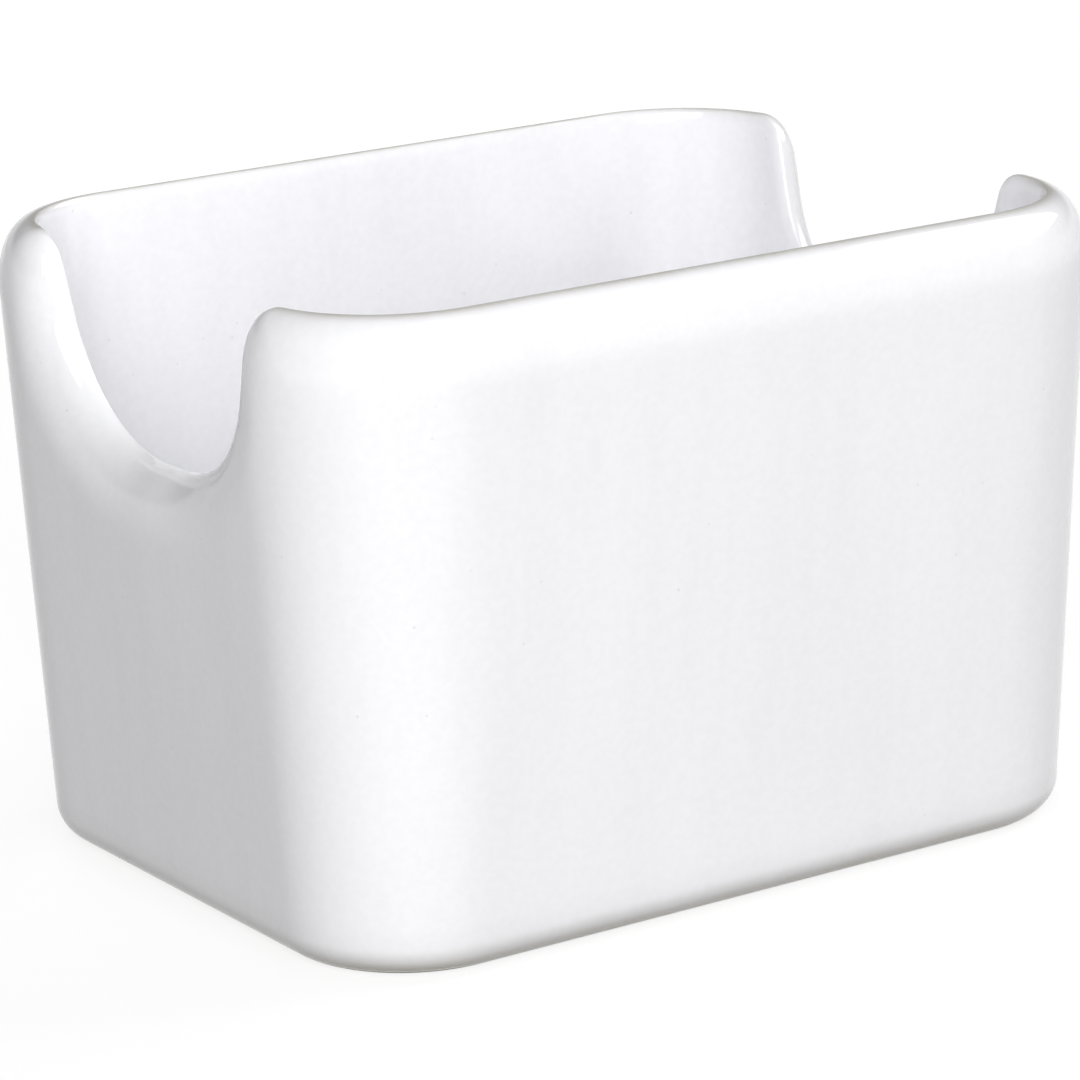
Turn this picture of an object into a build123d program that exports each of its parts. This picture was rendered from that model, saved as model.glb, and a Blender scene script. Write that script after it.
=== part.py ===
from build123d import *
import math
import os

# Sugar packet holder: an open ceramic box, cast and fired in one piece, under a thin coat of glaze.
# Millimetres. The origin is the middle of the foot, on the table. +X runs along the box, +Z is up.

# Outside of the glazed box, widest just below its rounded rim and drawn in towards the foot
rim_length = 104.8
rim_width = 82.4
rim_corner_radius = 18.6
height = 69.9
draft_angle = 3.0
foot_edge_radius = 3.8

# Wall, floor and rim
wall = 5.2
floor_thickness = 5.2
pocket_edge_radius = 6.0
rim_outer_radius = 4.5
rim_inner_radius = 0.6

# U-shaped cut-out in each short end, between two corner posts
corner_post_width = 19.6
cutout_depth = 21.6
cutout_flank_angle = 74.0
cutout_bottom_radius = 17.8
cutout_lip_radius = 4.8

# Glaze, and the height of clay that is wiped bare above the foot
glaze = 0.3
bare_foot_height = 0.5

# Underside: a flat foot rim round a shallow recess, whose side is glazed down to the bare clay
foot_rim_width = 5.0
recess_side_height = 0.8
recess_edge_radius = 0.6

# Least flat that roundings leave between them, and least corner radius of a section far inside the wall
least_flat = 0.1
least_corner_radius = 1.0

# How far cutting shapes run past what they cut, and how near to its depth in the wall an edge must lie
overrun = 10.0
edge_tolerance = 0.05


def fitted(radii, room):
    """Radii that share a straight stretch, cut down together where it is too short for them."""
    share = min(1.0, room / sum(radii))
    return [radius * share for radius in radii]


# The cut-out's outline, from the end's width: its flanks lean outwards from a narrower bottom
half_flank = math.radians(cutout_flank_angle) / 2
turn = math.tan(half_flank)
cutout_width = rim_width - 2 * corner_post_width
cutout_bottom_width = cutout_width - 2 * cutout_depth / math.tan(2 * half_flank)
flank_length = cutout_depth / math.sin(2 * half_flank)
cutout_bottom, cutout_lip = fitted((cutout_bottom_radius, cutout_lip_radius), (flank_length - least_flat) / turn)
cutout_bottom = min(cutout_bottom, (cutout_bottom_width - least_flat) / 2 / turn)

# The rim's two roundings share the wall, and the outer one turns inside the cut-out's lip
rim_outer, rim_inner = fitted((rim_outer_radius, rim_inner_radius), wall - least_flat)
rim_outer = min(rim_outer, cutout_lip - least_flat)

# Heights from the table
shoulder = height - rim_outer
foot_zone_top = glaze + bare_foot_height
recess_top = foot_zone_top + recess_side_height
floor_top = recess_top + floor_thickness


def drawn_in(z):
    """How far the outer wall at height z lies inside the shoulder, where the box is widest."""
    return (shoulder - z) * math.tan(math.radians(draft_angle))


def corner_radius(z, inset):
    """Corner radius of the section at height z, moved in by inset."""
    return max(rim_corner_radius - drawn_in(z) - inset, least_corner_radius)


def section(z, inset):
    """Rounded rectangle of the outer wall at height z, moved in by inset."""
    less = 2 * (drawn_in(z) + inset)
    outline = RectangleRounded(rim_length - less, rim_width - less, corner_radius(z, inset))
    return Pos(0, 0, z) * outline


def drafted_block(low, high, inset):
    """Solid between two heights that follows the outer wall, moved in by inset."""
    return extrude(section(low, inset), amount=high - low, taper=-draft_angle)


def depth_in_wall(point):
    """How far a point lies inside the outer wall, measured level."""
    past_x = abs(point.X) - (rim_length / 2 - rim_corner_radius)
    past_y = abs(point.Y) - (rim_width / 2 - rim_corner_radius)
    outside = math.hypot(max(past_x, 0), max(past_y, 0)) + min(max(past_x, past_y), 0)
    return rim_corner_radius - drawn_in(point.Z) - outside


def rim_cutter(inset):
    """Everything above the rim line: level along the sides, dipping through both ends in one U."""
    top = height - inset
    bottom = top - cutout_depth
    top_half = cutout_width / 2 + inset * turn
    bottom_half = cutout_bottom_width / 2 + inset * turn
    lid = height + 2 * overrun
    corners = [
        (-rim_width, lid), (-rim_width, top), (-top_half, top), (-bottom_half, bottom),
        (bottom_half, bottom), (top_half, top), (rim_width, top), (rim_width, lid),
    ]
    lip, hollow = cutout_lip - inset, cutout_bottom + inset
    outline = FilletPolyline(*corners, radius=[0, 0, lip, hollow, hollow, lip, 0, 0], close=True)
    return extrude(Plane.YZ * make_face(outline), amount=rim_length, both=True)


def rim_edges(box, depth):
    """Edges that run along the rim at a given depth in the wall."""
    lowest = height - cutout_depth - wall
    return [
        edge for edge in box.edges()
        if edge.bounding_box().min.Z > lowest and abs(depth_in_wall(edge @ 0.5) - depth) < edge_tolerance
    ]


def holder_form(inset):
    """The whole box with every face moved in by inset: 0 is the glazed outside, glaze is the clay below it."""
    block = drafted_block(inset, height + overrun, inset)
    foot_edges = block.faces().sort_by(Axis.Z)[0].edges()
    block = fillet(foot_edges, foot_edge_radius - inset)

    pocket_floor = floor_top - inset
    pocket_inset = wall - inset
    pocket_edge = min(pocket_edge_radius + inset, corner_radius(pocket_floor, pocket_inset) - least_flat)
    pocket = drafted_block(pocket_floor, height + overrun, pocket_inset)
    pocket_edges = pocket.faces().sort_by(Axis.Z)[0].edges()
    pocket = fillet(pocket_edges, pocket_edge)

    recess_inset = foot_edge_radius + foot_rim_width - inset
    recess = extrude(section(recess_top + inset, recess_inset), amount=-overrun)
    recess_edges = recess.faces().sort_by(Axis.Z)[-1].edges()
    recess = fillet(recess_edges, min(recess_edge_radius, recess_side_height) + inset)

    box = block - pocket - recess - rim_cutter(inset)
    box = fillet(rim_edges(box, inset), rim_outer - inset)
    return fillet(rim_edges(box, wall - inset), rim_inner - inset)


# Clay body, with its bare foot, and the two patches of glaze that the foot rim parts
glazed = holder_form(0)
clay = holder_form(glaze)
foot_zone = Pos(0, 0, foot_zone_top - overrun / 2) * Box(2 * rim_length, 2 * rim_width, overrun)
china_body = clay + (glazed & foot_zone)
base_glaze, glaze_coat = (glazed - clay - foot_zone).solids().sort_by(SortBy.VOLUME)
nodes = {"china_body": china_body, "glaze_coat": glaze_coat, "base_glaze": base_glaze}

os.makedirs("parts", exist_ok=True)
for name, shape in nodes.items():
    export_step(shape, f"parts/{name}.step")
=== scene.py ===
import bpy
import numpy as np
from mathutils import Matrix


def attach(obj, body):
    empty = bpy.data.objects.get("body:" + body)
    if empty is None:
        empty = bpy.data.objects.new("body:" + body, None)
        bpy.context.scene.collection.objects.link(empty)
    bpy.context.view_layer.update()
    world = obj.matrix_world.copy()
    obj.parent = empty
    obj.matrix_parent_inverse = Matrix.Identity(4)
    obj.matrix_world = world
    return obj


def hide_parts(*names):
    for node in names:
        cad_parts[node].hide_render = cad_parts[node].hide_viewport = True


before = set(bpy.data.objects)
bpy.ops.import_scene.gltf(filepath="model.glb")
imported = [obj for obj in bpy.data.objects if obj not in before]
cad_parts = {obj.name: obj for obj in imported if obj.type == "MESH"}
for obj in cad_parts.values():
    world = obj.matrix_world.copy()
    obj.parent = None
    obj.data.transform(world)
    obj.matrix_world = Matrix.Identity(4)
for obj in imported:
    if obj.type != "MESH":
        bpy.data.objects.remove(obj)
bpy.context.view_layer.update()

# Glaze coat: the white glass skin that is fired over the whole box, down to a line just above the foot.
# It is 0.3 mm thick, thinner on the level crest of the rim and above the foot, where the clay shows through
# a little. A grey tint there is partly that thinner glaze and partly painted shade, darker than the glaze
# alone would be. It carries the fine specks and pinholes of restaurant ware. Sizes are in millimetres.
half_length, half_width, corner = 52.4, 41.2, 18.6
height, shoulder, draft = 69.89, 65.4, np.radians(3.0)
end_flat, side_flat = half_width - corner, half_length - corner
corner_end = end_flat + corner * np.pi / 2
quarter_end = corner_end + side_flat
wall = 5.2
rim_tall, rim_deep = 7.3, 4.5
inner_tall, inner_deep = 1.6, 0.65
foot_rounding, bare_line = 3.8, 0.8
floor_level, pocket_rounding = 6.8, 6.0
cutout_depth, flank = 21.6, np.radians(74.0)
hollow_radius, hollow_growth, lip_growth = 17.8, 0.7, 0.2
glaze_thickness = 0.3


def corner_radius(z, inset):
    """Corner radius at height z, less the inset. It grows with height, because the walls lean outwards."""
    return corner - (shoulder - z) * np.tan(draft) - inset


def on_wall(along, z, inset):
    """Points on a quarter of the wall. along runs straight from the middle of an end, then round the corner
    as an arc about an upright axis, then straight to the middle of a side. inset moves a point level into
    the box."""
    radius = corner_radius(z, inset)
    turn = np.clip((along - end_flat) / corner, 0, np.pi / 2)
    x = side_flat + radius * np.cos(turn) - np.maximum(along - corner_end, 0)
    y = np.minimum(along, end_flat) + radius * np.sin(turn)
    return np.stack([x, y, z + 0 * x], -1)


def along_at(across, z, inset):
    """Where on that quarter a point lies that is a given distance across the box: the arc's sine, undone."""
    turn = np.arcsin(np.clip((across - end_flat) / corner_radius(z, inset), 0, 1))
    return np.minimum(across, end_flat) + corner * turn


# Columns of a quarter, stretch by stretch along the rim: shares of what is straight, leans of what is an arc.
# The same number of columns, evenly spaced, serves the rows that are level all round.
flat_share = np.linspace(0, 1, 4)[:-1]
hollow_lean = np.linspace(0, flank, 20)
flank_share = np.linspace(0, 1, 7)[1:-1]
lip_lean = np.linspace(flank, 0, 16)
corner_share = np.linspace(0, 1, 21)[1:]
side_along = np.linspace(corner_end, quarter_end, 15)[1:]
columns = sum(map(len, (flat_share, hollow_lean, flank_share, lip_lean, corner_share, side_along)))
even_along = np.linspace(0, quarter_end, columns)


def rim_row(drop, inset, post):
    """Rim line of a quarter, sunk by drop and moved in by inset. Seen along the box it is a short flat,
    a hollow arc, a straight flank and a lip arc that turns level. Sinking widens the cut-out as if its edge
    were pared away. post holds the half width of the cut-out up to a corner post, and the radius of that
    post's lip."""
    cutout_half, lip_radius = post
    spread = np.tan(flank / 2)
    top, bottom = height - drop, height - drop - cutout_depth
    hollow, lip = hollow_radius + hollow_growth * drop, lip_radius + lip_growth * drop
    bottom_half = cutout_half - cutout_depth / np.tan(flank) + drop * spread
    hollow_start = bottom_half - hollow * spread
    hollow_across = hollow_start + hollow * np.sin(hollow_lean)
    hollow_z = bottom + hollow * (1 - np.cos(hollow_lean))
    lip_end = cutout_half + (drop + lip) * spread
    lip_across = lip_end - lip * np.sin(lip_lean)
    lip_z = top - lip * (1 - np.cos(lip_lean))
    flank_across = hollow_across[-1] + (lip_across[0] - hollow_across[-1]) * flank_share
    flank_z = hollow_z[-1] + (lip_z[0] - hollow_z[-1]) * flank_share
    across = np.concatenate([hollow_start * flat_share, hollow_across, flank_across, lip_across])
    z = np.concatenate([np.full(len(flat_share), bottom), hollow_z, flank_z, lip_z])
    along = along_at(across, z, inset)
    round_corner = along[-1] + corner_share * (corner_end - along[-1])
    level = np.full(len(corner_share) + len(side_along), top)
    return np.concatenate([along, round_corner, side_along]), np.concatenate([z, level])


def rounding(radius, centre, inset, angles):
    """Arc between a leaning wall and a level floor, on even columns: heights from the sine, and insets from
    the cosine less the lean of the wall."""
    z = centre + radius * np.sin(angles)
    insets = inset + (z - centre) * np.tan(draft) + radius * (1 / np.cos(draft) - np.cos(angles))
    return on_wall(even_along, z[:, None], insets[:, None])


def wall_rows(low, drop, inset, post, shares):
    """Rows from even columns at a low height to a rim row, sliding from one spacing to the other."""
    high_along, high_z = rim_row(drop, inset, post)
    along = even_along + (high_along - even_along) * shares[:, None] ** 2
    return on_wall(along, low + (high_z - low) * shares[:, None], inset)


def box_rows(depth, post):
    """Rows over a quarter, all sunk by depth: from the bare line above the foot, up the outside, over the rim
    and down to the middle of the pocket floor. The rim is a quarter ellipse outside and a smaller one
    inside."""
    foot_angles = np.linspace(np.arcsin((bare_line - foot_rounding) / (foot_rounding - depth)), -draft, 12)
    foot = rounding(foot_rounding - depth, foot_rounding, depth, foot_angles)
    outside = wall_rows(foot[-1, 0, 2], rim_tall, depth, post, np.linspace(0, 1, 26)[1:-1])
    outer = np.linspace(0, np.pi / 2, 18)
    outer_drops = depth + (rim_tall - depth) * (1 - np.sin(outer))
    outer_insets = depth + (rim_deep - depth) * (1 - np.cos(outer))
    inner = np.linspace(np.pi / 2, np.pi, 10)
    inner_drops = depth + (inner_tall - depth) * (1 - np.sin(inner))
    inner_insets = wall - depth - (inner_deep - depth) * (1 + np.cos(inner))
    drops, insets = np.append(outer_drops, inner_drops), np.append(outer_insets, inner_insets)
    rim = np.array([on_wall(*rim_row(drop, inset, post), inset) for drop, inset in zip(drops, insets)])
    pocket_angles = np.linspace(-draft, -np.pi / 2, 12)
    pocket = rounding(pocket_rounding + depth, floor_level + pocket_rounding, wall - depth, pocket_angles)
    inside = wall_rows(pocket[0, 0, 2], inner_tall, wall - depth, post, np.linspace(1, 0, 22)[1:-1])
    floor = [pocket[-1] * (share, share, 1) for share in np.linspace(1, 0, 10)[1:-1]]
    return [foot, outside, rim, inside, pocket, np.array(floor)]


def all_round(quarters):
    """Rings from the rows of four quarters, each mirrored to its own corner and every second one reversed."""
    signs = [(1, 1, 1), (-1, 1, 1), (-1, -1, 1), (1, -1, 1)]
    runs = [slice(None, -1), slice(None, 0, -1)] * 2
    return np.concatenate([rows[:, run] * sign for rows, run, sign in zip(quarters, runs, signs)], 1)


def ring_mesh(name, rings, middles):
    """Mesh of rings joined row to row and all the way round, with a fan from the last ring to a first middle
    point and, if there is one, from the first ring to a second."""
    rows, around = rings.shape[:2]
    points = np.concatenate([rings.reshape(-1, 3), middles]) / 1000
    number = np.arange(rows * around).reshape(rows, around)
    right = np.roll(number, -1, 1)
    faces = np.stack([number[:-1], right[:-1], right[1:], number[1:]], -1).reshape(-1, 4).tolist()
    for middle, side, other in zip(range(len(middles)), (number[-1], right[0]), (right[-1], number[0])):
        faces += np.stack([side, other, np.full(around, rows * around + middle)], -1).tolist()
    mesh = bpy.data.meshes.new(name)
    mesh.from_pydata(points.tolist(), [], faces)
    mesh.polygons.foreach_set("use_smooth", np.ones(len(faces), bool))
    mesh.update()
    piece = bpy.data.objects.new(name, mesh)
    bpy.context.collection.objects.link(piece)
    return piece


class Wire:
    """A socket of a node tree. Sums on wires add Math nodes, and node() adds any other kind of node."""

    def __init__(self, tree, socket=None):
        self.tree = tree
        self.socket = socket

    def node(self, kind, settings, inputs, output=0):
        """Adds a node, sets its settings first, then gives each named or numbered input its value or wire."""
        made = self.tree.nodes.new(kind)
        for name, value in settings.items():
            setattr(made, name, value)
        for name, value in inputs.items():
            if isinstance(value, Wire):
                self.tree.links.new(value.socket, made.inputs[name])
            else:
                made.inputs[name].default_value = value
        return Wire(self.tree, made.outputs[output] if made.outputs else None)

    def output(self, name):
        """Another output of the same node."""
        return Wire(self.tree, self.socket.node.outputs[name])

    def math(self, operation, first, second):
        """Math node on two wires or values."""
        return self.node("ShaderNodeMath", {"operation": operation}, {0: first, 1: second})

    def __add__(self, other):
        return self.math("ADD", self, other)

    def __sub__(self, other):
        return self.math("SUBTRACT", self, other)

    def __rsub__(self, other):
        return self.math("SUBTRACT", other, self)

    def __mul__(self, other):
        return self.math("MULTIPLY", self, other)

    __radd__ = __add__
    __rmul__ = __mul__

    def ramp(self, low, high):
        """Soft step from 0 at low to 1 at high."""
        settings = {"interpolation_type": "SMOOTHSTEP"}
        return self.node("ShaderNodeMapRange", settings, {"Value": self, "From Min": low, "From Max": high})

    def blend(self, first, second):
        """Colour that goes from the first to the second as this wire goes from 0 to 1."""
        return self.node("ShaderNodeMix", {"data_type": "RGBA"}, {0: self, 6: first, 7: second}, 2)


def new_finish(name):
    """Empty material, with a wire to start from and one that carries Object coordinates in metres."""
    material = bpy.data.materials.new(name)
    material.use_nodes = True
    material.node_tree.nodes.clear()
    start = Wire(material.node_tree)
    return material, start, start.node("ShaderNodeTexCoord", {}, {}, "Object")


milk_white = (0.90, 0.90, 0.93, 1)
cloud_white = (0.855, 0.855, 0.88, 1)
# Grey of the thinner glaze at the crest and the foot, also used there as painted shade.
thin_glaze_and_shade_grey = (0.50, 0.48, 0.42, 1)
speck_grey = (0.55, 0.54, 0.51, 1)
glaze, start, place = new_finish("milk_white_glaze")
drawn_down = start.node("ShaderNodeMapping", {}, {"Vector": place, "Scale": (1, 1, 0.3)})
runs = start.node("ShaderNodeTexNoise", {}, {"Vector": drawn_down, "Scale": 75.0, "Detail": 2.0})
drawn_thin = start.node("ShaderNodeMapping", {}, {"Vector": place, "Scale": (1, 1, 0.1)})
trickles = start.node("ShaderNodeTexNoise", {}, {"Vector": drawn_thin, "Scale": 280.0, "Detail": 1.0})
ripple = start.node("ShaderNodeTexNoise", {}, {"Vector": place, "Scale": 160.0, "Detail": 1.0})
grain = start.node("ShaderNodeTexNoise", {}, {"Vector": place, "Scale": 1100.0, "Detail": 2.0})
cells = start.node("ShaderNodeTexVoronoi", {}, {"Vector": place, "Scale": 480.0}, "Distance")
speck_size = cells.output("Color").ramp(0.35, 1.0) * 0.13
speck = (speck_size - cells).ramp(0.0, 0.06)
# The attribute below mixes in that grey: partly thinner glaze, partly painted shade on the crest and above
# the foot.
thinness_and_shade = start.node("ShaderNodeAttribute", {"attribute_name": "thin_and_shade"}, {}, "Fac")
clouds = 0.4 * runs.ramp(0.3, 0.7) + 0.18 * trickles.ramp(0.4, 0.7) + 0.42 * grain.ramp(0.3, 0.7)
cloudy = clouds.blend(milk_white, cloud_white)
thinned_and_shaded = (thinness_and_shade * (0.4 + 0.6 * runs)).blend(cloudy, thin_glaze_and_shade_grey)
colour = (speck * 0.3).blend(thinned_and_shaded, speck_grey)
swell = runs * 0.6 + trickles * 0.06 + ripple * 0.12 + grain * 0.008 - speck * 0.03
bump = start.node("ShaderNodeBump", {}, {"Height": swell, "Strength": 0.35, "Distance": 0.0006})
shine = start.node("ShaderNodeBsdfPrincipled", {}, {
    "Base Color": colour, "Roughness": 0.05 + 0.05 * runs + 0.2 * speck, "IOR": 1.52, "Normal": bump})
start.node("ShaderNodeOutputMaterial", {}, {"Surface": shine})

# Each corner post has its half width of cut-out and its lip.
# The post at +X and -Y was trimmed less than the others.
even_post, wide_post = (21.6, 4.8), (20.4, 3.6)
corner_posts = [even_post, even_post, even_post, wide_post]
coat = all_round([np.concatenate(box_rows(0, post)) for post in corner_posts])
glaze_coat = ring_mesh("glaze_skin", coat, [(0, 0, floor_level)])

# In the kiln the glaze runs off the level crest of the rim and stays thinner there, and it ends thinner
# at the bare line. The grey mixed in there is also painted shade: a darker edge on the crest and, more
# strongly, a darker rounding above the foot. Both fade as an exponential of the distance down from the
# crest or up from the line.
crest_reach = 0.18
# The greater strength at the foot is painted shade on the rounding above it.
foot_reach, foot_strength = 1.2, 1.6
coat_z = np.append(coat[..., 2].ravel(), floor_level)
crest_thin_and_shade = np.exp((coat_z - height) / crest_reach)
foot_thin_and_shade = foot_strength * np.exp((bare_line - coat_z) / foot_reach)
thin_and_shade = glaze_coat.data.attributes.new("thin_and_shade", "FLOAT", "POINT")
thin_and_shade.data.foreach_set("value", (crest_thin_and_shade + foot_thin_and_shade).astype(np.float32))
thickness = glaze_coat.modifiers.new("thickness", "SOLIDIFY")
thickness.thickness = glaze_thickness / 1000
thickness.offset = -1
glaze_coat.data.materials.append(glaze)
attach(glaze_coat, "root")
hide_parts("glaze_coat")

# Base glaze: the same glass in the shallow recess under the floor, fired with the rest of the box.
# It is a flat patch of its own, because the foot rim round it is wiped bare before firing.
base_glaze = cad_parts["base_glaze"]
base_glaze.data.materials.clear()
base_glaze.data.materials.append(glaze)

# China body: the box itself, cast in one piece from white clay slip and fired. It shows only at the foot rim,
# which is left unglazed so that the ware doesn't stick in the kiln, and which is rubbed smooth afterwards.
# The rest of it lies one glaze thickness under the glaze, and round a recess in the underside.
recess_roof, recess_inset, recess_rounding = 1.6, 8.8, 0.6
bare_white = (0.72, 0.69, 0.62, 1)
rubbed_grey = (0.45, 0.42, 0.37, 1)
clay, start, place = new_finish("bare_fired_clay")
grit = start.node("ShaderNodeTexNoise", {}, {"Vector": place, "Scale": 2500.0, "Detail": 3.0})
wear = start.node("ShaderNodeTexNoise", {}, {"Vector": place, "Scale": 130.0, "Detail": 4.0})
clay_colour = (wear.ramp(0.45, 0.75) * 0.6 + grit * 0.3).blend(bare_white, rubbed_grey)
clay_bump = start.node("ShaderNodeBump", {}, {"Height": grit, "Strength": 0.4, "Distance": 0.0001})
clay_face = start.node("ShaderNodeBsdfPrincipled", {}, {
    "Base Color": clay_colour, "Roughness": 0.7 + 0.15 * grit, "Normal": clay_bump})
start.node("ShaderNodeOutputMaterial", {}, {"Surface": clay_face})

# From its roof the recess turns down a rounded edge to a step as wide as the glaze, then on to the table.
edge_angles = np.linspace(np.pi / 2, 0, 6)
edge_radius = recess_rounding + glaze_thickness
edge_insets = recess_inset - glaze_thickness + edge_radius * (1 - np.cos(edge_angles))
edge_z = recess_roof + glaze_thickness - edge_radius * (1 - np.sin(edge_angles))
recess_insets = np.append(edge_insets, [recess_inset - glaze_thickness, recess_inset, recess_inset])
recess_z = np.append(edge_z, [bare_line, bare_line, 0])
recess_rows = on_wall(even_along, recess_roof, recess_insets[:, None])
recess_rows[..., 2] = recess_z[:, None]
bare_top = np.arcsin(bare_line / foot_rounding - 1)
bare_rows = rounding(foot_rounding, foot_rounding, 0, np.linspace(-np.pi / 2, bare_top, 8))
underside = [recess_rows, bare_rows]
body = all_round([np.concatenate(underside + box_rows(glaze_thickness, post)) for post in corner_posts])
floor_middle = (0, 0, floor_level - glaze_thickness)
recess_middle = (0, 0, recess_roof + glaze_thickness)
china_body = ring_mesh("clay_box", body, [floor_middle, recess_middle])
china_body.data.materials.append(clay)
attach(china_body, "root")
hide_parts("china_body")

# Studio floor: a wide pale sheet. Straight views and reflections see it as white, less the shadow that the
# box throws on it, and it throws only its own plain bounce back on the box.
floor_half = 4.0
floor_pale = (0.20, 0.20, 0.20, 1)
lift_white = (0.83, 0.83, 0.83, 1)
unlit = (0, 0, 0, 1)


def shown(start):
    """1 for a ray that shows a surface to the camera, straight, mirrored or through glass, otherwise 0."""
    ray = start.node("ShaderNodeLightPath", {}, {}, "Is Camera Ray")
    return ray + ray.output("Is Glossy Ray") + ray.output("Is Transmission Ray")


floor_signs = ((-1, -1), (1, -1), (1, 1), (-1, 1))
floor_points = [(x * floor_half, y * floor_half, 0) for x, y in floor_signs]
floor_mesh = bpy.data.meshes.new("studio_floor")
floor_mesh.from_pydata(floor_points, [], [(0, 1, 2, 3)])
studio_floor = bpy.data.objects.new("studio_floor", floor_mesh)
bpy.context.collection.objects.link(studio_floor)
sheet, start = new_finish("pale_sheet")[:2]
matt = start.node("ShaderNodeBsdfDiffuse", {}, {"Color": floor_pale})
lift = start.node("ShaderNodeEmission", {}, {"Color": shown(start).blend(unlit, lift_white)})
both = start.node("ShaderNodeAddShader", {}, {0: matt, 1: lift})
start.node("ShaderNodeOutputMaterial", {}, {"Surface": both})
floor_mesh.materials.append(sheet)

# Studio room: nearly dark, with walls that views see as white near the floor and fading out a little higher.
# Four soft boxes light the object, from the front, the left, the right and behind. The one behind only fills
# the shade, and the glaze doesn't mirror it.
room_dim = (0.05, 0.049, 0.045, 1)
lamp_aim = (0, 0, 0.03)
room = bpy.data.worlds.new("room")
bpy.context.scene.world = room
room.use_nodes = True
room.node_tree.nodes.clear()
start = Wire(room.node_tree)
direction = start.node("ShaderNodeTexCoord", {}, {}, "Generated")
rise = start.node("ShaderNodeSeparateXYZ", {}, {0: direction}, "Z")
walls = (shown(start) * (1 - rise.ramp(0.05, 0.2))).blend(room_dim, lift_white)
air = start.node("ShaderNodeBackground", {}, {"Color": walls})
start.node("ShaderNodeOutputWorld", {}, {"Surface": air})


def soft_box(name, power, size, place):
    """Square area lamp of a power in watts and a size in metres, at a place and turned to face the object."""
    lamp = bpy.data.lights.new(name, "AREA")
    lamp.energy = power
    lamp.size = size
    holder = bpy.data.objects.new(name, lamp)
    back = np.subtract(place, lamp_aim)
    back /= np.linalg.norm(back)
    right = np.cross((0, 0, 1), back)
    right /= np.linalg.norm(right)
    turn = np.stack([right, np.cross(back, right), back], 1)
    holder.matrix_world = Matrix.Translation(place) @ Matrix(turn.tolist()).to_4x4()
    bpy.context.collection.objects.link(holder)
    return holder


soft_box("front_box", power=5.8, size=0.7, place=(-0.28, -0.90, 0.32))
soft_box("left_box", power=8.1, size=0.7, place=(-0.70, -0.70, 0.60))
soft_box("right_box", power=4.4, size=0.5, place=(0.70, -0.10, 0.60))
back_box = soft_box("back_box", power=4.6, size=0.6, place=(0.25, 0.95, 0.34))
back_box.visible_glossy = False

# Camera: the photograph's own viewpoint, found by fitting the box's outline in an image of 1080 by 1080.
# It looks at a target from a distance, at an azimuth and an elevation, and is rolled about its line of sight.
image_size, focal_pixels = 1080, 5025.074
azimuth, elevation, roll = np.radians([-33.487, 15.67, -1.653])
target, distance = np.array([-0.001293, 0.0, 0.032028]), 0.55486
level_right = np.array([np.cos(azimuth), np.sin(azimuth), 0.0])
level_back = np.array([np.sin(azimuth), -np.cos(azimuth), 0.0])
back = np.cos(elevation) * level_back + np.sin(elevation) * np.array([0.0, 0.0, 1.0])
level_up = np.cross(back, level_right)
right = np.cos(roll) * level_right + np.sin(roll) * level_up
up = np.cos(roll) * level_up - np.sin(roll) * level_right
turn = np.stack([right, up, back], 1)
eye = bpy.data.cameras.new("eye")
eye.sensor_width = 36.0
eye.lens = focal_pixels / image_size * eye.sensor_width
camera = bpy.data.objects.new("eye", eye)
camera.matrix_world = Matrix.Translation(target + back * distance) @ Matrix(turn.tolist()).to_4x4()
bpy.context.collection.objects.link(camera)
bpy.context.scene.camera = camera
bpy.context.scene.view_settings.view_transform = "Standard"
